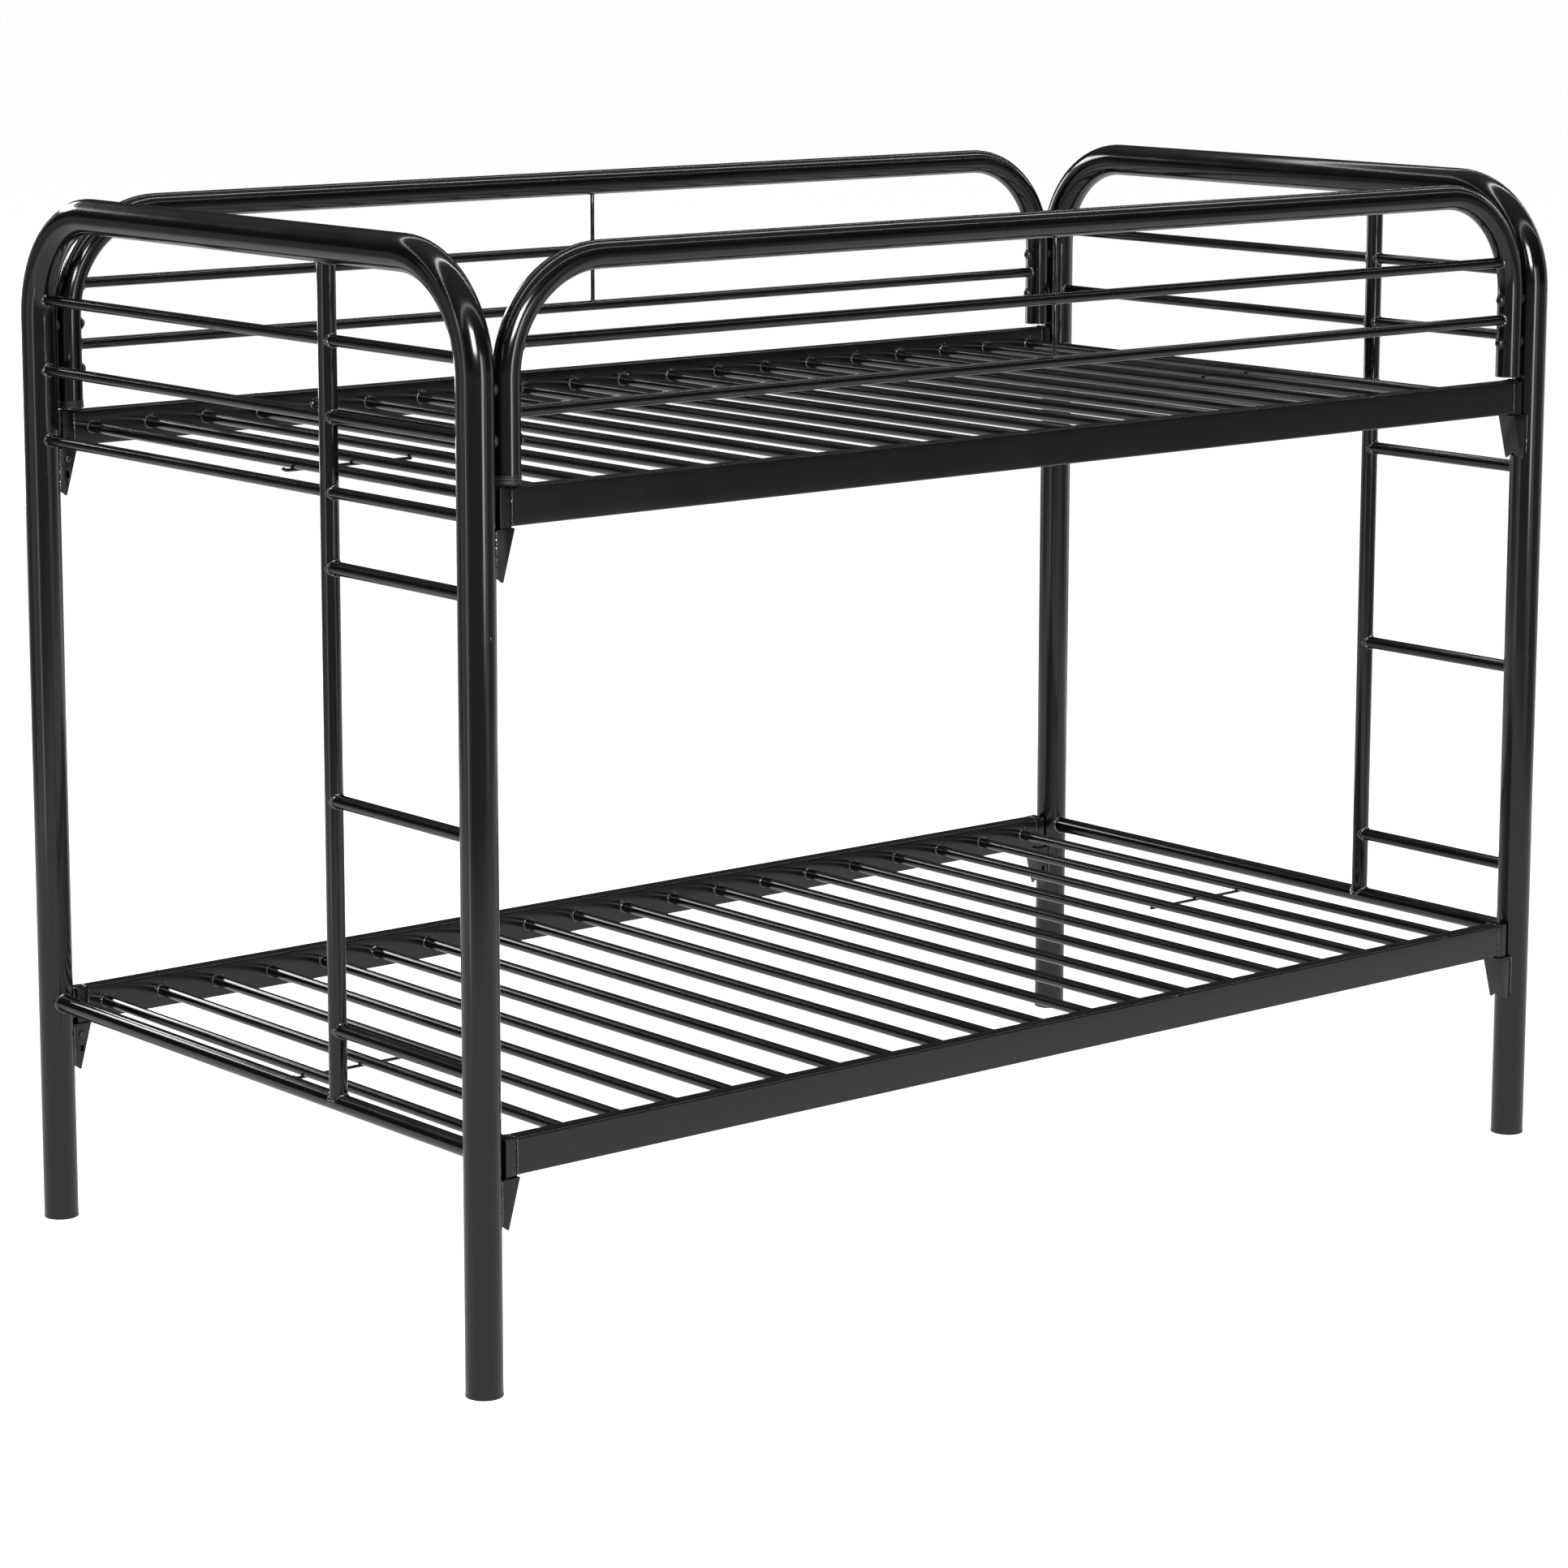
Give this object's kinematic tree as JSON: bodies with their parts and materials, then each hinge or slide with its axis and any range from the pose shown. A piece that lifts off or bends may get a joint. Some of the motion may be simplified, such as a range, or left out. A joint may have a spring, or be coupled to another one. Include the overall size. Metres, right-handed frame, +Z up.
{
  "type": "bunk bed with ladder",
  "caption": "Tubular steel twin bunk bed with inverted-U end frames, a ladder in each end frame, slatted decks on hook and socket joints, and bolted guard rails.",
  "frame": {"origin": "on the floor, under the centre of the bed", "axes": "+X along the length of the beds, -Y towards the side of the ladders, +Z up"},
  "size_m": [2.0706, 1.1182, 1.524],
  "materials": {
    "end_frame_steel": "gloss black powder coat on round steel tube",
    "guard_steel": "gloss black powder coat on round steel tube",
    "deck_steel": "gloss black powder coat on rectangular and round steel tube",
    "socket_steel": "gloss black powder coat on folded steel plate",
    "black_bolt": "black oxide button-head bolt and washer",
    "black_plastic": "moulded black plastic"
  },
  "bodies": {
    "root": {"cross_rail_left": "end_frame_steel", "cross_rail_right": "end_frame_steel", "deck_lower": "deck_steel", "deck_upper": "deck_steel", "end_hoop_left": "end_frame_steel", "end_hoop_right": "end_frame_steel", "end_rail_front_left_1": "end_frame_steel", "end_rail_front_left_2": "end_frame_steel", "end_rail_front_left_3": "end_frame_steel", "end_rail_front_right_1": "end_frame_steel", "end_rail_front_right_2": "end_frame_steel", "end_rail_front_right_3": "end_frame_steel", "end_rail_rear_left_1": "end_frame_steel", "end_rail_rear_left_2": "end_frame_steel", "end_rail_rear_left_3": "end_frame_steel", "end_rail_rear_right_1": "end_frame_steel", "end_rail_rear_right_2": "end_frame_steel", "end_rail_rear_right_3": "end_frame_steel", "foot_glide_left_front": "black_plastic", "foot_glide_left_rear": "black_plastic", "foot_glide_right_front": "black_plastic", "foot_glide_right_rear": "black_plastic", "guard_bolt_left_front_1": "black_bolt", "guard_bolt_left_front_2": "black_bolt", "guard_bolt_left_rear_1": "black_bolt", "guard_bolt_left_rear_2": "black_bolt", "guard_bolt_right_front_1": "black_bolt", "guard_bolt_right_front_2": "black_bolt", "guard_bolt_right_rear_1": "black_bolt", "guard_bolt_right_rear_2": "black_bolt", "guard_hoop_front": "guard_steel", "guard_hoop_rear": "guard_steel", "guard_leg_plug_left_front": "black_plastic", "guard_leg_plug_left_rear": "black_plastic", "guard_leg_plug_right_front": "black_plastic", "guard_leg_plug_right_rear": "black_plastic", "guard_rail_front_lower": "guard_steel", "guard_rail_front_upper": "guard_steel", "guard_rail_rear_lower": "guard_steel", "guard_rail_rear_upper": "guard_steel", "ladder_rung_left_1": "end_frame_steel", "ladder_rung_left_2": "end_frame_steel", "ladder_rung_left_3": "end_frame_steel", "ladder_rung_right_1": "end_frame_steel", "ladder_rung_right_2": "end_frame_steel", "ladder_rung_right_3": "end_frame_steel", "ladder_upright_left": "end_frame_steel", "ladder_upright_right": "end_frame_steel", "socket_lower_left_front": "socket_steel", "socket_lower_left_rear": "socket_steel", "socket_lower_right_front": "socket_steel", "socket_lower_right_rear": "socket_steel", "socket_upper_left_front": "socket_steel", "socket_upper_left_rear": "socket_steel", "socket_upper_right_front": "socket_steel", "socket_upper_right_rear": "socket_steel", "spindle_front_lower": "guard_steel", "spindle_front_upper": "guard_steel", "spindle_rear_lower": "guard_steel", "spindle_rear_upper": "guard_steel"}
  },
  "joints": []
}
